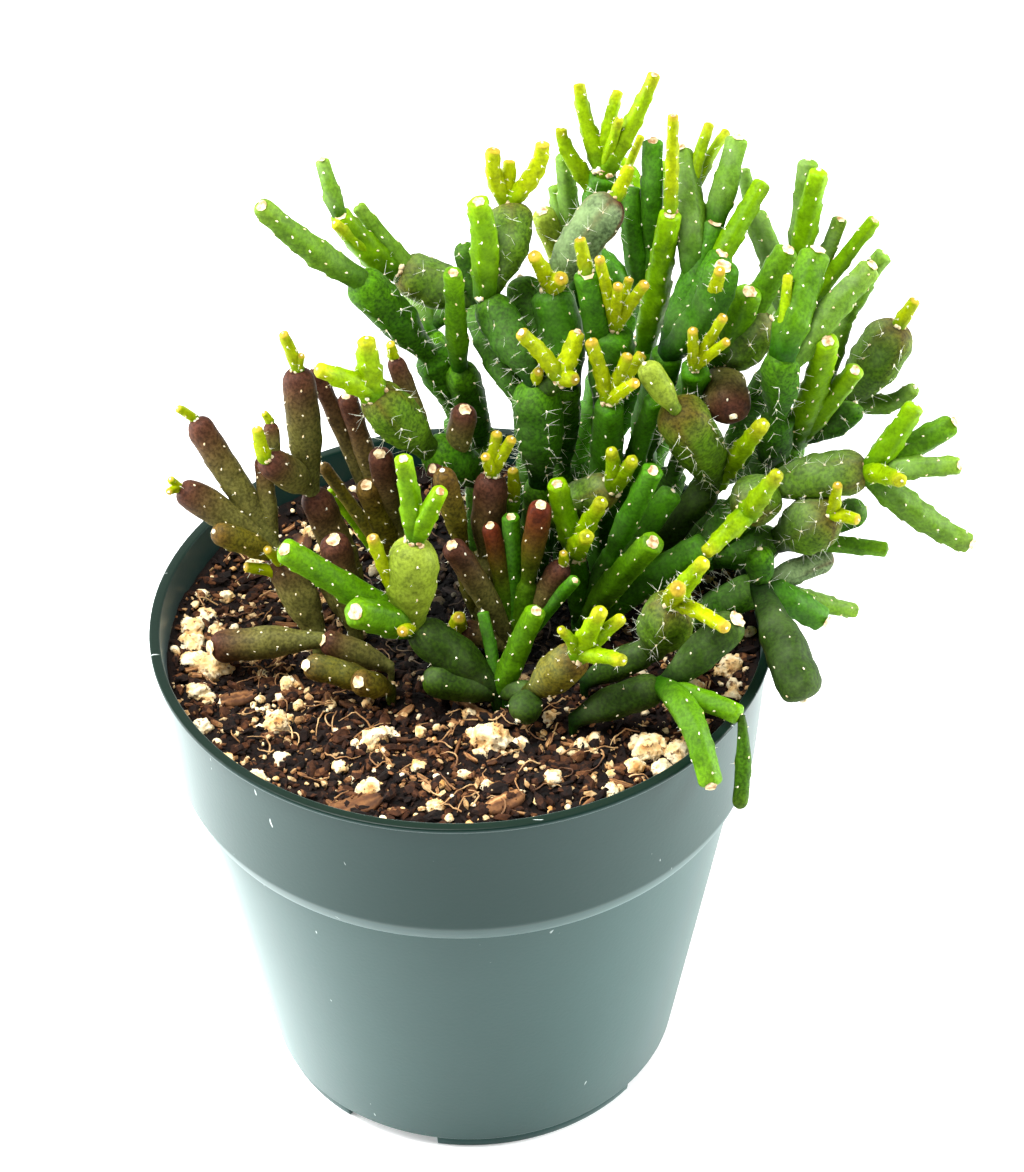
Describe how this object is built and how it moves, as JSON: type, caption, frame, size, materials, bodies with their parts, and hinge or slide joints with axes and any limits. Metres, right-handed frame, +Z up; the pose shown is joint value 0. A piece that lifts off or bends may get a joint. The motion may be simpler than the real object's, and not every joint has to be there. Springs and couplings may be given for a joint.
{
  "type": "potted cactus",
  "caption": "Bushy clump of jointed, bone-shaped cactus stems growing from soil in a round, tapered nursery pot with a straight collar and low feet.",
  "frame": {"origin": "middle of the whole part's footprint, at the height of the surface that the pot stands on; the stems lean out, so the pot's axis is at x = -17 mm, y = -7 mm", "axes": "+Z up along the pot's axis, -Y towards the front where the soil is open, +X towards the side that the stems hang over"},
  "size_m": [0.1379, 0.1192, 0.1743],
  "materials": {
    "pot_plastic": "satin grey-green moulded plastic",
    "soil": "loose dark peat and bark with white perlite",
    "stem_dark_green": "satin living skin, speckled dark green with white bristles",
    "stem_olive": "satin living skin, olive green turning maroon at the tips",
    "stem_bright_green": "satin living skin, fresh green with cream dots",
    "stem_maroon": "satin living skin, dry maroon brown"
  },
  "bodies": {
    "root": {"pot": "pot_plastic", "soil": "soil", "stem_lying_left": "stem_maroon", "stem_front_left": "stem_olive", "stem_left_clump": "stem_maroon", "stem_left_tall": "stem_maroon", "stem_left_short": "stem_maroon", "stem_left_back": "stem_maroon", "stem_front": "stem_bright_green", "stem_front_right": "stem_bright_green", "stem_front_fat": "stem_olive", "stem_middle_red": "stem_maroon", "stem_middle_maroon": "stem_maroon", "stem_middle_green": "stem_bright_green", "stem_middle_tall": "stem_dark_green", "stem_left_fat": "stem_dark_green", "stem_left_arm": "stem_dark_green", "stem_back_left": "stem_dark_green", "stem_back_column": "stem_dark_green", "stem_back_middle": "stem_dark_green", "stem_crown_back": "stem_dark_green", "stem_crown": "stem_dark_green", "stem_right_inner": "stem_olive", "stem_right_middle": "stem_olive", "stem_right_back": "stem_dark_green", "stem_right_tall": "stem_dark_green", "stem_right_fan": "stem_olive", "stem_right_front": "stem_dark_green", "stem_far_left": "stem_dark_green", "stem_far_middle": "stem_dark_green", "stem_far_right": "stem_dark_green"}
  },
  "joints": []
}
